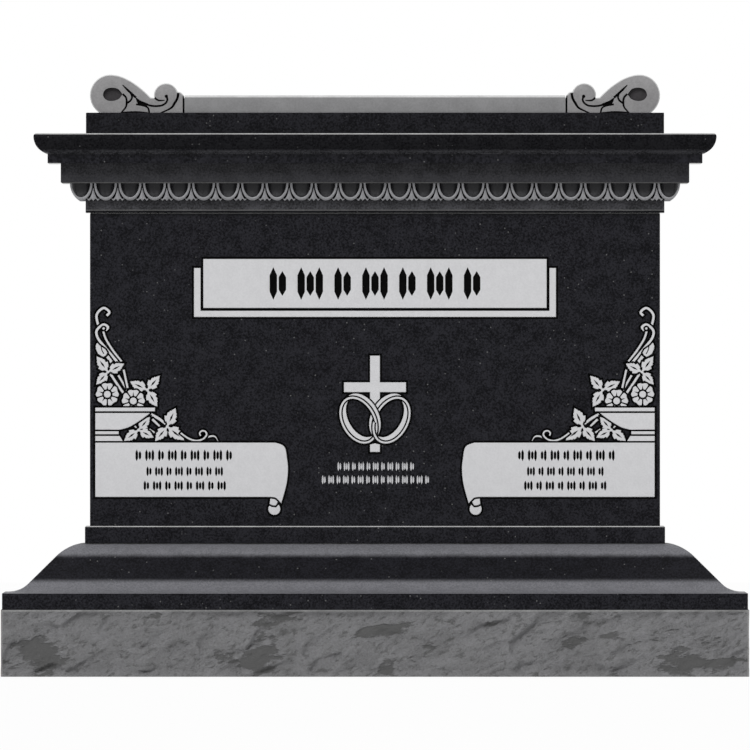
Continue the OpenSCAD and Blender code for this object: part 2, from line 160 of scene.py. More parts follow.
def speckled(colour, place, shade):
    """A colour with rare bright crystals in it"""
    cells = place.node("ShaderNodeTexVoronoi", {}, {"Vector": place, "Scale": specks_per_metre}, 1)
    near = place.node("ShaderNodeTexVoronoi", {}, {"Vector": place, "Scale": specks_per_metre}, 0)
    lucky = place.node("ShaderNodeSeparateColor", {}, {"Color": cells}, 0)
    speck = lucky.step(rarest_speck, rarest_speck + 0.04) * near.step(speck_reach, speck_reach - 0.14)
    return speck.between(colour, tone(shade))


def granite(name, dark, light, roughness, specular, blotch, grain, bump=0.0, specks=0, bands=(), flakes=()):
    """A granite finish. Its tone wanders from dark to light in blotches, and its crystals add grain.
    Specks is the tone of its bright crystals. Bands and flakes are as banded and flaked take them."""
    material = bpy.data.materials.new(name)
    material.use_nodes = True
    tree = material.node_tree
    shader = tree.nodes["Principled BSDF"]
    place = Wire(tree, tree.nodes.new("ShaderNodeTexCoord").outputs["Object"])
    clouds = place.node("ShaderNodeTexNoise", {}, {
        "Vector": place, "Scale": 1 / blotch, "Detail": 3.0, "Roughness": 0.55})
    crystals = place.node("ShaderNodeTexNoise", {}, {
        "Vector": place, "Scale": crystals_per_metre, "Detail": 3.0, "Roughness": 0.75})
    wander = (clouds - 0.5) * blotch_strength + (crystals - 0.5) * grain * crystal_strength + 0.5
    share = wander.step(0, 1)
    height = place.node("ShaderNodeSeparateXYZ", {}, {"Vector": place}, 2) + (clouds - 0.5) * band_waver
    colour = banded(share.between(dark, light), share, height, bands)
    relief = crystals + clouds
    if flakes:
        colour, relief = flaked(colour, crystals, place, *flakes)
    if specks:
        colour = speckled(colour, place, specks)
    tree.links.new(colour.socket, shader.inputs["Base Color"])
    if bump:
        pits = place.node("ShaderNodeBump", {}, {"Strength": 0.9, "Distance": bump, "Height": relief})
        tree.links.new(pits.socket, shader.inputs["Normal"])
    shader.inputs["Roughness"].default_value = roughness
    shader.inputs["Specular IOR Level"].default_value = specular
    return material


def as_object(name, shape, materials):
    """A finished shape as an object in the scene"""
    mesh = bpy.data.meshes.new(name)
    shape.to_mesh(mesh)
    shape.free()
    for material in materials:
        mesh.materials.append(material)
    made = bpy.data.objects.new(name, mesh)
    bpy.context.scene.collection.objects.link(made)
    return made


def set_stone(stone, node, sharpest):
    """Shades a stone with crisp arrises, and lays it where its CAD node is"""
    stone.data.shade_smooth()
    stone.data.set_sharp_from_angle(angle=math.radians(sharpest))
    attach(stone, "root")
    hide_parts(node)


# The dark smooth patches of this granite are painted shade of the chipped facets
split_granite = granite("split_grey_granite_with_painted_shade", tone(124, 0, 1), tone(138, 0, 2), 0.85, 0.1, 0.09, 0.7, 0.008,
                        flakes=(0.575, 92, math.radians(-28)))
# A lighter grey along the pitched top edge and the corners: a painted highlight
pitched_highlight_granite = granite("painted_highlight_pitched_arris", tone(126), tone(142), 0.8, 0.1, 0.04, 0.8)
# The split faces: how deep they may go, the size and lean of a flake, and how flakes tilt and meet
split_cell = 0.005
split_back = 0.0185
flake_long = 0.150
flake_wide = 0.062
flake_lean = math.radians(32)
flake_tilt = 1.9
flake_depth, flake_spread = 0.46, 0.62
ridge_sharpness = 36
split_rough, rough_scale = 0.17, 42
sides_apart = 7.3
# The pitched edges: how wide a margin stays near them, how much the corners break, and their chips
pitch_margin = 0.022
pitch_kept = 0.05
chip_depth, chips_per_metre = 0.0022, 22


def split(along, height, side):
    """How deep the split face lies at one place, from 0 to 1: tilted flakes that meet in soft ridges"""
    up_slope = along * math.cos(flake_lean) + height * math.sin(flake_lean)
    cross_slope = height * math.cos(flake_lean) - along * math.sin(flake_lean)
    here = Vector((up_slope / flake_long, cross_slope / flake_wide, side * sides_apart))
    distances, centres = noise.voronoi(here)
    total = weights = 0.0
    for distance, centre in zip(distances, centres):
        weight = math.exp((distances[0] - distance) * ridge_sharpness)
        tilt = noise.noise_vector(centre * 3.7) * flake_tilt
        lie = flake_depth + flake_spread * noise.noise(centre * 5.3) + tilt.dot(here - centre)
        total += weight * lie
        weights += weight
    rough = noise.fractal(Vector((up_slope * 0.6, cross_slope, side)) * rough_scale, 0.8, 2.1, 5)
    return min(max(total / weights + split_rough * rough, 0.02), 1)


def ramp(value):
    """0 before 0, 1 after 1 and smooth between them"""
    value = min(max(value, 0), 1)
    return value * value * (3 - 2 * value)


# A fixed seed, so that the flakes tilt the same way each time
noise.seed_set(5)
low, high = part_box("rock_base")
rock = bmesh.new()
bmesh.ops.create_cube(rock, size=1)
bmesh.ops.scale(rock, vec=high - low, verts=rock.verts)
bmesh.ops.translate(rock, vec=(low + high) / 2, verts=rock.verts)
beds = [face for face in rock.faces if abs(face.normal.z) > 0.5]
bmesh.ops.delete(rock, geom=beds, context="FACES_ONLY")
for axis in range(3):
    cuts = round((high - low)[axis] / split_cell) - 1
    edges = [e for e in rock.edges if abs((e.verts[0].co - e.verts[1].co)[axis]) > split_cell * 1.5]
    bmesh.ops.subdivide_edges(rock, edges=edges, cuts=cuts, use_grid_fill=True)
for vert in rock.verts:
    x, y, z = vert.co
    on_side = min(abs(x - low.x), abs(high.x - x)) < 0.0005
    on_face = min(abs(y - low.y), abs(high.y - y)) < 0.0005
    from_arris = min(z - low.z, high.z - z)
    from_corner = min(x - low.x, high.x - x) if on_face else min(y - low.y, high.y - y)
    reach = pitch_kept + (1 - pitch_kept) * ramp(from_corner / pitch_margin)
    reach *= ramp((from_arris + 0.001) / pitch_margin)
    chip = chip_depth * max(0, noise.noise(vert.co * chips_per_metre)) * (from_arris < 0.001)
    if on_face:
        vert.co.y -= math.copysign(reach * split_back * split(x, z, math.copysign(1, y)) + chip, y)
    if on_side:
        vert.co.x -= math.copysign(reach * split_back * split(y, z, math.copysign(2, x)) + chip, x)
bmesh.ops.holes_fill(rock, edges=[e for e in rock.edges if e.is_boundary], sides=0)
bmesh.ops.recalc_face_normals(rock, faces=rock.faces)
# Faces along the top arris and at the corners take the lighter grey, a painted highlight
for face in rock.faces:
    x, y, z = face.calc_center_median()
    by_corner = (min(x - low.x, high.x - x) < split_cell) and (min(y - low.y, high.y - y) < split_cell)
    face.material_index = int((z > high.z - split_cell or by_corner) and abs(face.normal.z) < 0.9)
set_stone(as_object("rock_pitched_base", rock, [split_granite, pitched_highlight_granite]),
          "rock_base", 40)


# ---- The moulded base ----
# The second stone, black granite: a plinth, a broad ogee and a fillet turned round all four sides of
# one block. The ogee's colour is painted: a soft grey above and below, painted light where it faces
# up, and a near black middle, painted shade where it is steep.

die_low, die_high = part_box("die")
half_w, half_d = die_high.x, die_high.y


def outward(shape):
    """The closed shape with its faces turned outwards"""
    bmesh.ops.recalc_face_normals(shape, faces=shape.faces)
    if shape.calc_volume(signed=True) < 0:
        bmesh.ops.reverse_faces(shape, faces=shape.faces)
    return shape


def stacked(levels):
    """A block whose section changes with its height. Each level gives how far it stands out from the
    die, its height, and which finish the wall under it has."""
    shape = bmesh.new()
    bmesh.ops.create_grid(shape, x_segments=1, y_segments=1, size=1)
    top = next(iter(shape.faces))
    for out, height, finish in levels:
        if (out, height) != levels[0][:2]:
            under = top
            grown_up = bmesh.ops.extrude_face_region(shape, geom=[under])["geom"]
            top = next(part for part in grown_up if isinstance(part, bmesh.types.BMFace))
            if len(shape.faces) > 6:
                bmesh.ops.delete(shape, geom=[under], context="FACES_ONLY")
        for vert in top.verts:
            vert.co.x = math.copysign(half_w + out, vert.co.x)
            vert.co.y = math.copysign(half_d + out, vert.co.y)
            vert.co.z = height
        for edge in top.edges:
            for wall in edge.link_faces:
                if wall != top:
                    wall.material_index = finish
    return outward(shape)


def arc(x, z, radius, start, end, steps):
    """Points along an arc from one angle to another, in degrees"""
    turns = [math.radians(start + (end - start) * i / steps) for i in range(steps + 1)]
    return [(x + radius * math.cos(t), z + radius * math.sin(t)) for t in turns]


low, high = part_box("moulded_base")
plinth_out = 0.261
plinth_top = low.z + 0.050
ogee_out, ogee_top_out = 0.253, 0.007
hollow_r, round_r = 0.100, 0.132
ogee_top = high.z - 0.051
fillet_out = 0.015
# Where the ogee's steep middle is painted near black, as painted shade
shaded_band_low, shaded_band_high, shaded_band_blur = plinth_top + 0.0365, plinth_top + 0.1125, 0.009
arris = 0.003
rise = hollow_r + round_r - (ogee_top - plinth_top)
run = ogee_out - ogee_top_out
slope = math.degrees(math.asin((hollow_r + round_r) / math.hypot(run, rise)) - math.atan2(rise, run))
hollow = arc(ogee_out, plinth_top + hollow_r, hollow_r, 270, 270 - slope, 14)
swell = arc(ogee_top_out, ogee_top - round_r, round_r, 90 - slope, 90, 14)
moulded = stacked([
    (plinth_out, low.z, 0), (plinth_out, plinth_top - 0.001, 0), (plinth_out - 0.001, plinth_top, 1),
    *[(x, z, 1) for x, z in hollow + swell],
    (fillet_out, ogee_top, 0), (fillet_out, high.z - arris, 0), (fillet_out - arris, high.z, 2)])
black_granite = granite("polished_black_granite", tone(6, 0, 4), tone(36, 0, 5), 0.16, 0.08, 0.05, 1.1,
                        specks=92)
# The ogee's grey is painted light where it faces up; its first band is painted shade on its steep middle
ogee_granite = granite(
    "ogee_with_painted_light_and_shade", tone(101, 0, 4), tone(119, 0, 5), 0.45, 0.08, 0.05, 1.3, specks=104,
    bands=[(shaded_band_low, shaded_band_high, tone(22, 0, 4), shaded_band_blur),
           (ogee_top - arris, ogee_top + 0.011, tone(40), 0.002)])
# A light grey for the top arris of the moulded base and the top of the crown round: a painted highlight
arris_highlight = granite("painted_highlight_arris", tone(150), tone(186), 0.5, 0.2, 0.05, 0.4)
set_stone(as_object("moulded_second_base", moulded, [black_granite, ogee_granite, arris_highlight]),
          "moulded_base", 20)


# ---- The die ----
# The main tablet, a slab of polished black granite with a plain back. Its front is sandblasted through
# a stencil and finished with a chisel: frosted forms, level with the polish, each in its own sunk line.

# How the stencil and the chisel cut: their depths, the width of the lines round the forms, how far a
# form's edge is eased, and how far a cutter stands past what it cuts
carve_depth = 0.004
line_depth = 0.003
sunk_line = 0.006
parting_line = 0.0052
board_line = 0.0085
stroke_depth = 0.003
pillow = 0.0012
score_square = 0.060
past = 0.002
frosted_granite = granite("frosted_carving", tone(197, 0, 2), tone(204, 0, 2), 0.8, 0.1, 0.03, 0.8, 0.0003)
sunk_granite = granite("sunk_ground", tone(1), tone(7), 0.8, 0.05, 0.03, 1.0)
# A light grey for the die's top arris: a painted highlight
painted_highlight_die_arris = granite("painted_highlight_die_arris", tone(140), tone(165), 0.5, 0.15, 0.05, 0.4)
face_y = die_low.y


def curve(start, pull, push, end, steps):
    """Points along a cubic curve"""
    ends = [Vector((*point, 0)) for point in (start, pull, push, end)]
    return [(p.x, p.y) for p in geometry.interpolate_bezier(*ends, steps + 1)]


def through(points):
    """A smooth line through the points"""
    line = []
    last = len(points) - 1
    for i in range(last):
        before, here, there, after = [Vector(points[min(max(i + k, 0), last)]) for k in (-1, 0, 1, 2)]
        line += curve(here, here + (there - before) / 6, there - (after - here) / 6, there, 5)[:-1]
    return line + [tuple(points[-1])]


def ribbon(line, wide, end_wide=None, start_wide=None):
    """The outline of a band along a line, which may narrow to its ends"""
    line = [Vector(point) for point in line]
    last = len(line) - 1
    sides = [[], []]
    for i, point in enumerate(line):
        along = (line[min(i + 1, last)] - line[max(i - 1, 0)]).normalized()
        share = i / last
        narrow = wide if end_wide is None else wide + (end_wide - wide) * ramp(share * 2 - 1)
        if start_wide is not None and share < 0.5:
            narrow = start_wide + (wide - start_wide) * ramp(share * 2)
        across = Vector((-along.y, along.x)) * narrow / 2
        sides[0].append(tuple(point + across))
        sides[1].append(tuple(point - across))
    return sides[0] + sides[1][::-1]


def grown(outline, by):
    """An outline moved outwards all round"""
    points = [Vector(point) for point in outline]
    area = sum(a.x * b.y - a.y * b.x for a, b in zip(points, points[1:] + points[:1]))
    moved = []
    for before, here, after in zip(points[-1:] + points[:-1], points, points[1:] + points[:1]):
        first = (here - before).normalized()
        second = (after - here).normalized()
        normal = Vector((first.y + second.y, -first.x - second.x)) * math.copysign(1, area)
        moved.append(tuple(here + normal * by / max(1 + first.dot(second), 0.6)))
    return moved


def scored(shape):
    """The shape with its faces scored into squares, which keeps each face simple once it is cut"""
    xs, zs = [v.co.x for v in shape.verts], [v.co.z for v in shape.verts]
    for axis, places in ((0, xs), (2, zs)):
        squares = int((max(places) - min(places)) / score_square)
        for i in range(1, squares):
            at, along = Vector(), Vector()
            at[axis] = min(places) + (max(places) - min(places)) * i / squares
            along[axis] = 1
            parts = list(shape.verts) + list(shape.edges) + list(shape.faces)
            bmesh.ops.bisect_plane(shape, geom=parts, plane_co=at, plane_no=along, dist=1e-6)
    return shape


def prism(outline, front, back, ease=0.0):
    """A flat form from the plane y = front to the plane y = back, with its front edges eased"""
    shape = bmesh.new()
    face = shape.faces.new([shape.verts.new((x, front, z)) for x, z in outline])
    for part in bmesh.ops.extrude_face_region(shape, geom=[face])["geom"]:
        if isinstance(part, bmesh.types.BMVert):
            part.co.y = back
    outward(shape)
    if ease:
        rim = [e for e in shape.edges if all(abs(v.co.y - front) < 1e-6 for v in e.verts)]
        bmesh.ops.bevel(shape, geom=rim, offset=ease, affect="EDGES", segments=1, profile=0.5, material=-1,
                        clamp_overlap=True)
    return scored(shape)


def worked(target, operation, tools):
    """Cuts the tools out of the target or fuses them to it, and uses them up"""
    group = bpy.data.collections.new("tools")
    for tool in tools:
        group.objects.link(tool)
    change = target.modifiers.new("work", "BOOLEAN")
    change.operation = operation
    change.solver = "MANIFOLD"
    change.operand_type = "COLLECTION"
    change.collection = group
    change.material_mode = "TRANSFER"
    done = bpy.data.meshes.new_from_object(target.evaluated_get(bpy.context.evaluated_depsgraph_get()))
    target.modifiers.clear()
    target.data = done
    for tool in tools:
        bpy.data.objects.remove(tool)
    bpy.data.collections.remove(group)


def other_hand(piece):
    """The same piece for the other side of the middle line"""
    shape = bmesh.new()
    shape.from_mesh(piece.data)
    bmesh.ops.scale(shape, vec=(-1, 1, 1), verts=shape.verts)
    bmesh.ops.reverse_faces(shape, faces=shape.faces)
    return as_object(piece.name, shape, piece.data.materials)


def form(outline, hole, front, back, ease, material):
    """One flat form, with its hole if it has one"""
    made = as_object("form", prism(outline, front, back, ease), [material])
    if hole:
        worked(made, "DIFFERENCE", [as_object("hole", prism(hole, front - past, back + past), [material])])
    return made


def layered(layers, parting):
    """Forms laid over one another, and the room that they need. A layer is its forms, which are one with
    each other, and the fine lines in them. A sunk line parts it from those under it. A form is an
    outline, with its hole if it has one and the outline of its parting if that isn't all round it."""
    floor = face_y + carve_depth
    relief, room = None, []
    for layer, lines in layers:
        forms, partings = [], []
        for outline, hole, around in layer:
            wide = around or grown(outline, parting)
            narrow = grown(hole, -parting) if hole else None
            forms.append(form(outline, hole, face_y, floor + past / 2, pillow, frosted_granite))
            partings.append(form(wide, narrow, face_y - past, floor + past, 0, sunk_granite))
            wide = around or grown(outline, sunk_line)
            narrow = grown(hole, -sunk_line) if hole else None
            room.append(form(wide, narrow, face_y - past, floor, 0, sunk_granite))
        if relief:
            worked(relief, "DIFFERENCE", partings)
        else:
            relief = forms.pop(0)
            for spare in partings:
                bpy.data.objects.remove(spare)
        if forms:
            worked(relief, "UNION", forms)
        if lines:
            grooves = [prism(line, face_y - past, face_y + line_depth) for line in lines]
            worked(relief, "DIFFERENCE", [as_object("line", groove, [sunk_granite]) for groove in grooves])
    return relief, room


def placed(origin, outline, turn=0.0, size=1.0):
    """An outline in millimetres, turned by degrees, at a place on the die in metres"""
    cosine = math.cos(math.radians(turn)) * size / 1000
    sine = math.sin(math.radians(turn)) * size / 1000
    return [(origin[0] + x * cosine - z * sine, origin[1] + x * sine + z * cosine) for x, z in outline]


# Panels: two name panels, one lying behind and below the other
panel_w, panel_h, panel_drop = 1.030, 0.147, 0.139
panel_wing, panel_lower = 0.028, 0.027
panel_top = die_high.z - panel_drop


def board(half, top, bottom):
    """The outline of a plain board"""
    return [(-half, bottom), (half, bottom), (half, top), (-half, top)]


back_board = board(panel_w / 2 + panel_wing, panel_top - panel_lower, panel_top - panel_h - panel_lower)
front_board = board(panel_w / 2, panel_top, panel_top - panel_h)

# Left corner of the banner's top edge, from which the banner, urn and flowers are measured, in
# millimetres, each drawn once for the left side
corner = (die_low.x + 0.016, die_low.z + 0.250)
banner_w, banner_h = 578, 163
flower_r, petal_count = 34.5, 5
leaf_long, leaf_stock = 58, 1.8
leaf_rib = [(15, 0), (28, 2.9), (44, 0), (28, -2.9)]
leaf_edge = [
    (7, 3.2), (12, 7), (11.5, 10), (17, 14), (26, 18), (28, 13.5), (30, 12), (34, 13.5), (39, 13), (40, 10.5),
    (45, 10), (47, 7), (52, 4.5)]


def spot(x, z):
    """The place in metres of a point measured in millimetres from the banner's corner"""
    return (corner[0] + x / 1000, corner[1] + z / 1000)


def leaf(origin, length, turn, lobe):
    """A pointed leaf with a side lobe on each side and a jagged edge, and the rib cut along its middle"""
    upper = [(x, z * lobe) for x, z in leaf_edge]
    lower = [(x, -z) for x, z in leaf_edge[::-1]]
    outline = [(-1, leaf_stock), *upper, (leaf_long + 1, 0), *lower, (-1, -leaf_stock)]
    size = length / leaf_long
    return placed(spot(*origin), outline, turn, size), placed(spot(*origin), leaf_rib, turn, size)


def flower(origin):
    """A round flower: its wavy outline, its button, and the lines between and along its petals"""
    edge = []
    for turn in range(0, 360, 6):
        wave = flower_r * (0.97 - 0.04 * math.cos(math.radians(2 * petal_count * (turn - 90))))
        edge.append((wave * math.cos(math.radians(turn)), wave * math.sin(math.radians(turn))))
    between = ribbon([(13, 0), (26, 0), (flower_r + 3, 0)], 4, 7.5)
    along = [(12, 2.8), (12, -2.8), (flower_r * 0.8, 0)]
    turns = [90 + 360 * i / petal_count for i in range(petal_count)]
    lines = [placed(spot(*origin), between, turn + 180) for turn in turns]
    lines += [placed(spot(*origin), along, turn) for turn in turns]
    button = arc(0, 0, flower_r * 0.3, 0, 345, 23)
    return placed(spot(*origin), edge), placed(spot(*origin), button), lines


def band(points, wide, end_wide=None):
    """A stem or tendril through points measured from the banner's corner"""
    return placed(corner, ribbon(through(points), wide, end_wide))


stems = [
    band([(24, 334), (32, 310), (54, 275), (78, 243)], 6, 7),
    band([(34, 381), (42, 392), (24, 404), (4, 384), (8, 354)], 7),
    band([(31, 337), (38, 347), (23, 354), (4, 336), (8, 313), (29, 286), (66, 242)], 7),
    placed(spot(25, 342.5), arc(0, 0, 3.8, 0, 330, 11)),
    band([(36, 259), (49, 241)], 9),
    band([(45, 207), (64, 178), (84, 149)], 7),
    band([(69, 202), (95, 158)], 6),
    band([(85, 219), (97, 164)], 6),
    band([(165, 86), (192, 71), (217, 50)], 8, 5),
    band([(171, 70), (193, 49)], 6.6, 5),
    band([(162, 40), (178, 30)], 5),
    band([(117, 51), (130, 38)], 4)]
bud_leaf = placed(corner, [
    (5, 300), (1, 290), (2, 281), (8, 267), (23, 257), (32, 262), (36, 270), (31, 279), (24, 284), (14, 291)])
bud_line = placed(corner, ribbon(through([(17, 290), (20, 277), (26, 266)]), 3))
clusters = [
    ((38, 212), [(57, 126, 1), (54, 27, 1), (51, 227, 1)]),
    ((156, 158), [(57, 154, 1), (56, 49, 1), (58, -60, 1)]),
    ((130, 38), [(51, 49, 1), (54, 217, 1), (50, -27, 1)]),
    ((216, 48), [(60, 66, 1.15), (56, 230, 1), (64, -39, 1)])]
tendril = band([
    (256, 29), (279, 13), (300, 6), (316, 8), (328, 15), (334, 25), (329, 34), (319, 35), (313, 28),
    (317, 20), (324, 21)], 5, 4)
tail = band([(329, 13), (345, 19), (359, 18), (368, 5)], 5, 1.5)
low_flower = flower((36, 145))
high_flower = flower((114, 125))
rim = placed(corner, [(0, 94), (179, 94), (179, 105), (0, 105)])
bowl = placed(corner, [
    (0, 39), *through([(70, 38), (97, 45), (118, 56), (145, 74), (167, 91)]), (0, 91)])
neck_ring = placed(corner, [(0, 25), (70, 25), (70, 34), (0, 34)])
foot = placed(corner, [(0, 4), (83, 4), (73, 20), (0, 20)])
banner_edge = through([
    (banner_w - 38, 0), (banner_w - 11, -12), (banner_w - 3, -47), (banner_w, -81), (banner_w - 5, -127),
    (banner_w - 20, -182)])
banner_curl = through([(banner_w - 30, -171), (banner_w - 38, -165), (banner_w - 52, -banner_h)])
banner = placed(corner, [(0, -banner_h), (0, 0), *banner_edge, *banner_curl[1:]])
roll = placed(spot(banner_w - 41, -199), arc(0, 0, 18, 62, 360 + 52, 28))
roll_neck = placed(corner, [
    (banner_w - 53, -166), (banner_w - 55, -184), (banner_w - 47, -188), (banner_w - 38, -189),
    (banner_w - 34, -185), (banner_w - 31, -178), (banner_w - 24, -173), (banner_w - 40, -163)])

layers = [([stem], []) for stem in stems] + [([bud_leaf], [bud_line])]
for origin, sizes in clusters:
    sprays = [leaf(origin, *size) for size in sizes]
    knot = placed(corner, arc(*origin, 4.5, 0, 330, 11))
    layers.append(([outline for outline, rib in sprays] + [knot], [rib for outline, rib in sprays]))
for petals, button, lines in (high_flower, low_flower):
    layers += [([petals], lines), ([button], [])]
layers += [([part], []) for part in (tail, tendril, bowl, rim, neck_ring, foot, roll, roll_neck, banner)]
plain_layers = [([(outline, None, None) for outline in layer], lines) for layer, lines in layers]
offering, offering_room = layered(plain_layers, parting_line)

# Cross and rings: a cross that stands behind two linked rings, each a short tube seen a little askew
cross_foot = die_low.z + 0.222
cross_h, cross_half, bar, drop = 0.289, 0.093, 0.0295, 0.080
ring_z = cross_foot + 0.0954
ring_long, ring_wide, ring_rim, ring_wall = 75, 51, 5.8, 10
ring_lean, ring_off, ring_tube, ring_line = 28, 0.0496, (9.5, 9.5), 0.0044
arm_top = cross_foot + cross_h - drop
upper_right = [
    (bar / 2, cross_foot + 0.157), (bar / 2, arm_top - bar), (cross_half, arm_top - bar),
    (cross_half, arm_top), (bar / 2, arm_top), (bar / 2, cross_foot + cross_h)]
upper_cross = [*[(-x, z) for x, z in upper_right[::-1]], (0, cross_foot + 0.145), *upper_right]
lower_right = [(bar / 2, cross_foot + 0.022), (bar / 2, cross_foot)]
lower_cross = [*[(-x, z) for x, z in lower_right[::-1]], (0, cross_foot + 0.026), *lower_right]


def hoop(hand, inset, shift=(0, 0), start=0, end=354, steps=59):
    """The edge of a leaning hoop: hand is -1 for the left one, and inset draws it in"""
    turns = [math.radians(start + (end - start) * i / steps) for i in range(steps + 1)]
    edge = [((ring_wide - inset) * math.cos(t), (ring_long - inset) * math.sin(t)) for t in turns]
    at = (hand * ring_off - hand * shift[0] / 1000, ring_z + shift[1] / 1000)
    return placed(at, edge, -hand * ring_lean)


def hoop_part(hand, inset, deep, start, end):
    """A stretch of a hoop's band, which lies over the other hoop"""
    outer = hoop(hand, inset, (0, 0), start, end, 14)
    return outer + hoop(hand, inset + deep, (0, 0), start, end, 14)[::-1]


over_start, over_end = 205, 262
line_mm = ring_line * 1000
ring_layers = [([(upper_cross, None, None), (lower_cross, None, None)], [])]
for hand in (1, -1):
    inside = hoop(hand, ring_wall, ring_tube)
    ring_layers.append(([(hoop(hand, 0, ring_tube), inside, None), (hoop(hand, 0), inside, None)], []))
    ring_layers.append(([(hoop(hand, 0), hoop(hand, ring_rim), None)], []))
over = hoop_part(1, 0, ring_rim, over_start, over_end)
around_over = hoop_part(1, -line_mm, ring_rim + 2 * line_mm, over_start, over_end)
ring_layers.append(([(over, None, around_over)], []))
keepsake, keepsake_room = layered(ring_layers, ring_line)
board_layers = [([(outline, None, None)], []) for outline in (back_board, front_board)]
name_boards, board_room = layered(board_layers, board_line)

# The die itself, with its sunk ground, and the carving set back into it
# The die's top chamfer takes the light grey, a painted highlight
slab = stacked([(0, die_low.z, 0), (0, die_high.z - arris, 0), (-arris, die_high.z, 1)])
die = as_object("carved_die", scored(slab), [black_granite, painted_highlight_die_arris])
for rooms in (offering_room, keepsake_room, board_room):
    hands = [other_hand(room) for room in rooms] if rooms is offering_room else []
    worked(die, "DIFFERENCE", rooms + hands)
other_offering = other_hand(offering)
worked(die, "UNION", [offering, other_offering, keepsake, name_boards])


# Strokes: rows of plain, pointed chisel cuts stand in the places of the inscriptions
stroke_mouth, stroke_root = 1.42, 0.35
stroke_share, stroke_spacing, short_stroke = 0.23, 0.28, 0.76


def stroke(x, z, wide, tall, material):
    """A cutter for one pointed stroke, six-sided and narrower towards the bottom of the cut"""
    shape = bmesh.new()
    bmesh.ops.create_cone(shape, segments=6, radius1=stroke_mouth, radius2=stroke_root,
                          depth=stroke_depth + past, cap_ends=True)
    bmesh.ops.rotate(shape, verts=shape.verts, cent=(0, 0, 0), matrix=Matrix.Rotation(-math.pi / 2, 3, "X"))
    bmesh.ops.scale(shape, verts=shape.verts, vec=(wide / math.sqrt(3), 1, tall / 2))
    bmesh.ops.translate(shape, verts=shape.verts, vec=(x, face_y + (stroke_depth - past) / 2, z))
    return as_object("stroke", outward(shape), [material])


def stroke_row(x, z, width, height, groups, material):
    """A row of strokes, two or three to a group, of which the second is shorter"""
    step = width / groups
    cuts = []
    for i in range(groups):
        strokes = 2 + i % 2
        for k in range(strokes):
            tall = height * (short_stroke if k == 1 else 1)
            across = x + (i + 0.5) * step + (k - (strokes - 1) / 2) * step * stroke_spacing
            cuts.append(stroke(across, z, step * stroke_share, tall, material))
    return cuts


# One large row on the name panel, then three rows on each banner and two under the cross. A row is given
# by where it starts, how far down it is, its length, its height and its number of groups.
name_w, name_h = 0.680, 0.099
worked(die, "DIFFERENCE", stroke_row(-name_w / 2, panel_top - panel_h / 2, name_w, name_h, 7, sunk_granite))
for start, down, width, height, groups in (
        (0.112, 0.038, 0.306, 0.036, 9), (0.146, 0.086, 0.240, 0.031, 8), (0.137, 0.129, 0.258, 0.031, 8)):
    row = stroke_row(corner[0] + start, corner[1] - down, width, height, groups, sunk_granite)
    worked(die, "DIFFERENCE", row + [other_hand(cut) for cut in row])
for start, down, width, height, groups in (
        (-0.118, 0.043, 0.240, 0.028, 11), (-0.165, 0.083, 0.332, 0.028, 15)):
    worked(die, "DIFFERENCE", stroke_row(start, cross_foot - down, width, height, groups, frosted_granite))
set_stone(die, "die", 30)


# ---- The cornice ----
# The cap, one stone of black granite: a neck fillet, an ovolo carved with egg and dart, a corona, a
# fillet and a crown round. The shells and darts are steeled light, and the eggs keep a dark polish.

low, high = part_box("cornice")
neck_out, corona_out, crown_fillet_out, crown_out = 0.013, 0.087, 0.126, 0.168
ovolo_z = low.z + 0.025
corona_z = ovolo_z + 0.063
crown_fillet_z = corona_z + 0.060
crown_z = crown_fillet_z + 0.027
ovolo_r, ovolo_in = 0.063, -0.003
ground_r, ground_in = 0.051, -0.015
crown_r, crown_edge = 0.053, 0.009
ground_start = math.degrees(math.acos((neck_out - ground_in) / ground_r))
crown_x = crown_out - crown_r
crown_tuck = math.degrees(math.asin((crown_fillet_out - crown_x) / crown_r))
lit_line = 0.003
plain_foot = 0.013
# The top of the crown round, finish 4, takes the light arris grey as a painted highlight
cap = stacked([
    (neck_out, low.z, 0), (neck_out, low.z + 2 * lit_line, 0), (neck_out, low.z + 3 * lit_line, 3),
    (neck_out, ovolo_z + plain_foot, 1),
    *[(x, z, 2) for x, z in arc(ground_in, corona_z, ground_r, -ground_start, 0, 8)],
    (corona_out - lit_line, corona_z, 0), (corona_out, corona_z + lit_line, 3),
    (corona_out, crown_fillet_z, 1),
    (crown_fillet_out, crown_fillet_z, 5), (crown_fillet_out, crown_z, 5),
    *[(x, z, 0) for x, z in arc(crown_x, high.z - crown_edge, crown_r, crown_tuck - 90, 0, 12)],
    *[(x, z, 0) for x, z in arc(crown_out - crown_edge, high.z - crown_edge, crown_edge, 10, 40, 3)],
    *[(x, z, 4) for x, z in arc(crown_out - crown_edge, high.z - crown_edge, crown_edge, 50, 90, 4)]])
# The lighter band at the foot of the crown round is painted light, set against the shade in its tuck
cap_granite = granite("polished_cap_granite", tone(2, 0, 3), tone(25, 0, 3), 0.18, 0.08, 0.05, 1.1, specks=80,
                      bands=[(crown_z - 0.01, crown_z + 0.012, tone(56, 0, 3), 0.006)])
corona_granite = granite(
    "corona_granite", tone(38, 0, 3), tone(54, 0, 3), 0.25, 0.08, 0.06, 0.8,
    bands=[(low.z - 0.01, ovolo_z + plain_foot, tone(55, 0, 3), 0.002),
           (corona_z + 0.024, crown_z, tone(42, 0, 3), 0.012),
           (corona_z + 0.040, crown_z, tone(47, 0, 3), 0.012)])
line_granite = granite("lit_line", tone(74), tone(96), 0.45, 0.15, 0.05, 0.3)
shell_granite = granite("steeled_shells", tone(148, 0, 3), tone(166, 0, 3), 0.6, 0.2, 0.04, 0.5)
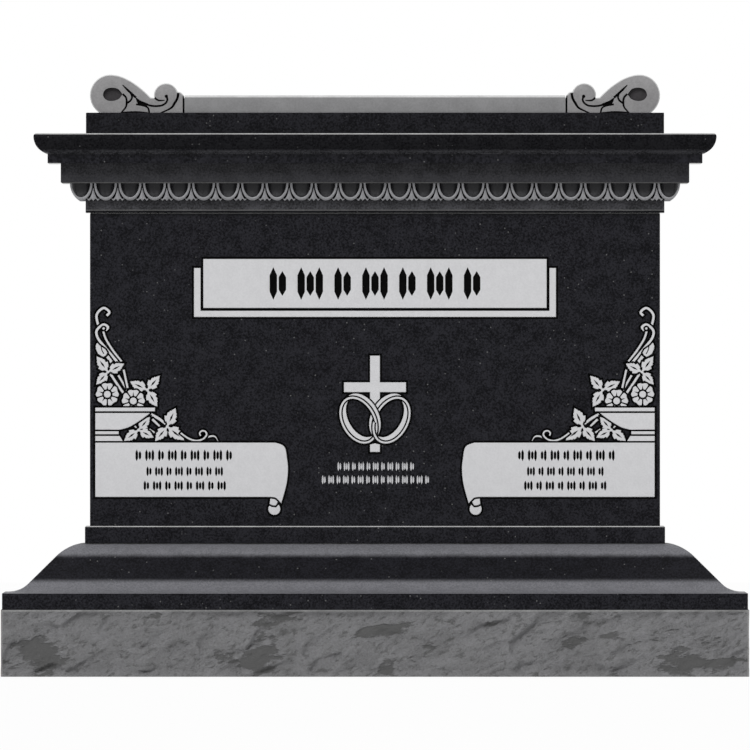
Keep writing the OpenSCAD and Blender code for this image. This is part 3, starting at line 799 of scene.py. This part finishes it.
# A lighter band across the lower middle of each egg: a painted highlight
egg_granite = granite("polished_eggs", tone(40, 0, 2), tone(50, 0, 2), 0.25, 0.12, 0.05, 0.4,
                      bands=[(ovolo_z + 0.018, ovolo_z + 0.036, tone(60, 0, 2), 0.009)])
cornice = as_object("egg_and_dart_cornice", cap,
                    [cap_granite, corona_granite, sunk_granite, line_granite, arris_highlight, black_granite])

# Eggs on a long and a short side, then the sizes of an egg, the shell about it and the dart beside it
eggs_long, eggs_short = 23, 4
egg_half, egg_h, egg_full = 0.0275, 0.042, 1.13
egg_deep, egg_back = 0.029, 0.028
shell_side, shell_foot, shell_dish = 0.007, 0.0095, 0.0035
dart_foot, dart_h, dart_half, dart_dish, dart_notch = 0.0105, 0.0385, 0.020, 0.004, 0.0068
past_corner = 0.061 - egg_half - shell_side


def ovolo_out(z):
    """How far the ovolo's surface stands out from the die at one height"""
    return ovolo_in + math.sqrt(max(ovolo_r ** 2 - (corona_z - z) ** 2, 0))


def shell(u, v):
    """The dished rim round the lower half of an egg, with u across the rim and v along it"""
    turn = math.radians(-90 * (v + 1))
    share = (u + 1) / 2
    z = corona_z + (egg_h + shell_foot * share) * math.sin(turn)
    return (egg_half + shell_side * share) * math.cos(turn), ovolo_out(z) - shell_dish * u * u, z


def dart(u, v):
    """The dart between two eggs, with a ridge down its middle and a wide, notched foot: u across, v up"""
    share = (1 - v) / 2
    wide = dart_half * (0.03 + 0.42 * share + 0.55 * share ** 5)
    notch = dart_notch * abs(math.sin(1.5 * math.pi * u)) * (share > 0.99)
    z = ovolo_z + dart_foot + dart_h * (1 - share) + notch
    return u * wide, ovolo_out(z) - dart_dish * abs(u), z


def carved(shape, across, along, surface, middle, face_out):
    """Adds a grid laid on a surface about one place in the run, and thickens it back to the die's face"""
    start = set(shape.verts)
    bmesh.ops.create_grid(shape, x_segments=across, y_segments=along, size=1)
    verts = [vert for vert in shape.verts if vert not in start]
    faces = list(dict.fromkeys(face for vert in verts for face in vert.link_faces))
    for vert in verts:
        x, out, z = surface(vert.co.x, vert.co.y)
        vert.co = (middle + x, -face_out - out, z)
    for part in bmesh.ops.extrude_face_region(shape, geom=faces)["geom"]:
        if isinstance(part, bmesh.types.BMVert):
            part.co.y = -face_out - past


def egg_run(half, face_out, eggs):
    """The eggs in one shape, and the shells and darts in another, along the front of one side"""
    egg_shape, shell_shape = bmesh.new(), bmesh.new()
    pitch = 2 * (half + past_corner) / (eggs + 1)
    for i in range(eggs + 2):
        middle = (i - (eggs + 1) / 2) * pitch
        new = bmesh.ops.create_uvsphere(egg_shape, u_segments=20, v_segments=12, radius=1)["verts"]
        size = Vector((egg_full * egg_half, egg_deep, egg_full * egg_h))
        bmesh.ops.scale(egg_shape, vec=size, verts=new)
        bmesh.ops.translate(egg_shape, vec=(middle, -face_out - egg_back, corona_z + 0.0005), verts=new)
        carved(shell_shape, 4, 20, shell, middle, face_out)
        if i <= eggs:
            carved(shell_shape, 6, 7, dart, middle + pitch / 2, face_out)
    for shape in (egg_shape, shell_shape):
        for hand in (-1, 1):
            mitre = Vector((hand * half, -face_out, 0))
            for point, normal in ((mitre, (hand, 1, 0)), ((0, 0, corona_z), (0, 0, 1))):
                parts = list(shape.verts) + list(shape.edges) + list(shape.faces)
                bmesh.ops.bisect_plane(shape, geom=parts, plane_co=point, plane_no=normal, clear_outer=True,
                                       dist=1e-6)
                bmesh.ops.holes_fill(shape, edges=[e for e in shape.edges if e.is_boundary], sides=0)
    return outward(egg_shape), outward(shell_shape)


carvings = []
for half, face_out, eggs, turns in (
        (half_w, half_d, eggs_long, (0, 2)), (half_d, half_w, eggs_short, (1, 3))):
    for turn in turns:
        for shape, material in zip(egg_run(half, face_out, eggs), (egg_granite, shell_granite)):
            quarter = Matrix.Rotation(turn * math.pi / 2, 3, "Z")
            bmesh.ops.rotate(shape, verts=shape.verts, cent=(0, 0, 0), matrix=quarter)
            carvings.append(as_object("carvings", shape, [material]))
worked(cornice, "UNION", carvings)
set_stone(cornice, "cornice", 25)


# ---- The crest ----
# The top stone: a polished blocking course under a steeled rail that ends in two scrolls. One block is
# cut through to the outline, and the volutes are chiselled into its front and its back.

low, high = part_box("crest")
blocking_out, blocking_h = 0.012, 0.063
rail_h, crest_half_d = 0.052, 0.148
scroll_up = 0.052
# In millimetres from the middle of the outer scroll: its radius, the radius and the place of the inner
# curl, and how far the end block reaches
scroll_r, curl_r, curl_across, block_across = 62, 36, 166, 222
groove_depth, eye_depth = 0.006, 0.014
course_arris, scroll_arris, rail_arris = 0.0015, 0.0027, 0.006
rail_set_back, rail_let_in, rail_lap = 0.002, 0.010, 0.0005
blocking_top = low.z + blocking_h
scroll_at = (-(half_w - scroll_r / 1000), blocking_top + scroll_up)
bed = -scroll_up * 1000
steeled_granite = granite("steeled_scrolls", tone(133, 1, 1), tone(148, 1, 1), 0.6, 0.2, 0.05, 0.5)
rail_granite = granite("steeled_rail", tone(124, 0, 1), tone(139, 0, 1), 0.6, 0.2, 0.05, 0.5)
eye_granite = granite("sunk_eye", tone(54, 2, 2), tone(66, 2, 2), 0.7, 0.1, 0.05, 0.5)
# A near white grey for the eased rims of the scrolls and the rail's top arrises: a painted highlight
painted_rail_highlight = granite("rail_arris", tone(186), tone(214), 0.5, 0.2, 0.06, 0.3)

course = stacked([
    (blocking_out, low.z, 0), (blocking_out, blocking_top - course_arris, 0),
    (blocking_out - course_arris, blocking_top, 0)])
crest = as_object("scrolled_crest", course, [black_granite])

foot_angle = math.degrees(math.asin(bed / scroll_r))
outline = arc(0, 0, scroll_r, 180 - foot_angle, 80, 30)
outline += curve((10.8, 61), (41, 57.5), (81, 35), (119.4, -6.6), 14)[1:]
outline += [(curl_across - curl_r + 2, -8)] + arc(curl_across, 0, curl_r, 180, 30, 16)
outline += [(curl_across + curl_r - 2, 11)] + arc(block_across - 20, -6, 17, 85, 0, 5)
outline += [(block_across, -10), (block_across, bed)]
scroll_front = -crest_half_d
scroll = prism(placed(scroll_at, outline), scroll_front, -scroll_front)
rims = [e for e in scroll.edges if sum(abs(face.normal.y) > 0.5 for face in e.link_faces) == 1
        and not all(abs(v.co.z - blocking_top) < 1e-6 for v in e.verts)]
eased = bmesh.ops.bevel(scroll, geom=rims, offset=scroll_arris, affect="EDGES", segments=2, profile=0.5,
                        material=-1, clamp_overlap=True)["faces"]
# The eased rims of the scroll are painted near white, a painted highlight
for face in eased:
    face.material_index = 1
left_scroll = as_object("scroll", scroll, [steeled_granite, painted_rail_highlight])

# The chiselled lines, of which the last is the dot in the inner curl
volute_lines = [
    ribbon(through([(36, 31), (54, 13), (76, -7)]), 7, start_wide=3),
    [(74, -5), (90, -16), (113, -25), (100, -31), (82, -27), (77, -16)],
    ribbon(through([(100, -26), (127, -32), (151, -31), (164, -24), (170, -14), (168, -4)]), 6),
    ribbon(through([(36, 4), (46, -7), (48, -23), (45, -36), (31, -53)]), 6.2, end_wide=4.5),
    ribbon(through([(61, 6), (64, -6), (59, -16), (48, -24)]), 5.8),
    ribbon(through([(76, -27), (99, -31), (112, -38), (116, -53)]), 5.5),
    ribbon(through([(34, -52), (74, -50), (112, -53)]), 5.5),
    ribbon(through([(131, -6), (143, -15), (162, -15)]), 5.5, end_wide=3),
    ribbon(through([(203, 7), (200, -9), (192, -23), (181, -38), (150, -53)]), 7.5, end_wide=4.5),
    ribbon([(219, 0), (219, -26), (219, -54)], 6.5),
    arc(167, -3, 5.2, 0, 330, 11)]
eye = through([(35, 4), (22, 19), (2, 23), (-16, 17), (-23, 1), (-14, -13), (4, -17), (24, -11), (35, 3)])
cuts = []
for side in (-1, 1):
    proud, deep = side * (crest_half_d + past), side * (crest_half_d - groove_depth)
    for cut in volute_lines:
        cuts.append(as_object("line", prism(placed(scroll_at, cut), proud, deep), [sunk_granite]))
    deep = side * (crest_half_d - eye_depth)
    cuts.append(as_object("eye", prism(placed(scroll_at, eye[:-1]), proud, deep), [eye_granite]))
worked(left_scroll, "DIFFERENCE", cuts)

rail_end = -(scroll_at[0] + block_across / 1000) + rail_lap
rail = bmesh.new()
bmesh.ops.create_cube(rail, size=1)
rail_size = (2 * rail_end, 2 * (crest_half_d - rail_set_back), rail_h + rail_let_in)
bmesh.ops.scale(rail, vec=rail_size, verts=rail.verts)
bmesh.ops.translate(rail, vec=(0, 0, blocking_top + (rail_h - rail_let_in) / 2), verts=rail.verts)
long_arrises = [e for e in rail.edges if all(v.co.z > blocking_top for v in e.verts)
                and abs(e.verts[0].co.x - e.verts[1].co.x) > 0.1]
eased = bmesh.ops.bevel(rail, geom=long_arrises, offset=rail_arris, affect="EDGES", segments=2,
                        profile=0.5, material=-1)["faces"]
# The rail's eased top arrises are painted near white, a painted highlight
for face in eased:
    face.material_index = 1
rail_piece = as_object("rail", rail, [rail_granite, painted_rail_highlight])
worked(crest, "UNION", [rail_piece, other_hand(left_scroll), left_scroll])
set_stone(crest, "crest", 30)


# ---- The ground and the light ----
# A plain white floor and a soft even sky, as in a studio, with one broad lamp high on the left. The
# camera looks at the front, level and from far off, so that the lines stay square.

sky = bpy.data.worlds.new("even_sky")
bpy.context.scene.world = sky
sky.use_nodes = True
sky_tree = sky.node_tree
rays = sky_tree.nodes.new("ShaderNodeLightPath")
camera_ray = Wire(sky_tree, rays.outputs["Is Camera Ray"])
glossy_ray = Wire(sky_tree, rays.outputs["Is Glossy Ray"])
clear_ray = Wire(sky_tree, rays.outputs["Is Transmission Ray"])
seen = (camera_ray + glossy_ray + clear_ray).step(0, 1)
sky_light = 0.63
sky_tree.links.new(seen.between((sky_light, sky_light, sky_light, 1), (1, 1, 1, 1)).socket,
                   sky_tree.nodes["Background"].inputs["Color"])

floor_half, floor_below = 45, 0.0005
floor_glow = 0.92
floor_shape = bmesh.new()
bmesh.ops.create_grid(floor_shape, x_segments=1, y_segments=1, size=floor_half)
bmesh.ops.translate(floor_shape, vec=(0, 0, cad_box[0].z - floor_below), verts=floor_shape.verts)
floor_white = bpy.data.materials.new("white_floor")
floor_white.use_nodes = True
floor_tree = floor_white.node_tree
floor_shader = floor_tree.nodes["Principled BSDF"]
floor_shader.inputs["Base Color"].default_value = (0.86, 0.86, 0.86, 1)
floor_shader.inputs["Roughness"].default_value = 1.0
floor_shader.inputs["Specular IOR Level"].default_value = 0.0
floor_ray = Wire(floor_tree, floor_tree.nodes.new("ShaderNodeLightPath").outputs["Is Camera Ray"])
glow = floor_ray.node("ShaderNodeEmission", {}, {"Color": (1, 1, 1, 1), "Strength": 1.0})
seen_floor = floor_ray.node("ShaderNodeMixShader", {}, {0: floor_ray * floor_glow})
floor_tree.links.new(floor_shader.outputs[0], seen_floor.socket.node.inputs[1])
floor_tree.links.new(glow.socket, seen_floor.socket.node.inputs[2])
floor_tree.links.new(seen_floor.socket, floor_tree.nodes["Material Output"].inputs["Surface"])
as_object("floor", floor_shape, [floor_white])

lamp = bpy.data.lights.new("broad_lamp", "SUN")
lamp.energy = 1.5
lamp.angle = math.radians(25)
lamp_stand = bpy.data.objects.new("broad_lamp", lamp)
lamp_stand.rotation_euler = Vector((0.35, 0.8, -0.65)).to_track_quat("-Z", "Y").to_euler()
bpy.context.scene.collection.objects.link(lamp_stand)

view_height = 0.903
view_distance = 100.0
view_width = 2.25
camera = bpy.data.cameras.new("front_camera")
camera.sensor_width = 36
camera.lens = camera.sensor_width * view_distance / view_width
camera.clip_start, camera.clip_end = 1, 400
camera_stand = bpy.data.objects.new("front_camera", camera)
camera_stand.location = (0, -half_d - view_distance, view_height)
camera_stand.rotation_euler = (math.radians(90), 0, 0)
bpy.context.scene.collection.objects.link(camera_stand)
bpy.context.scene.camera = camera_stand
bpy.context.scene.view_settings.view_transform = "Standard"
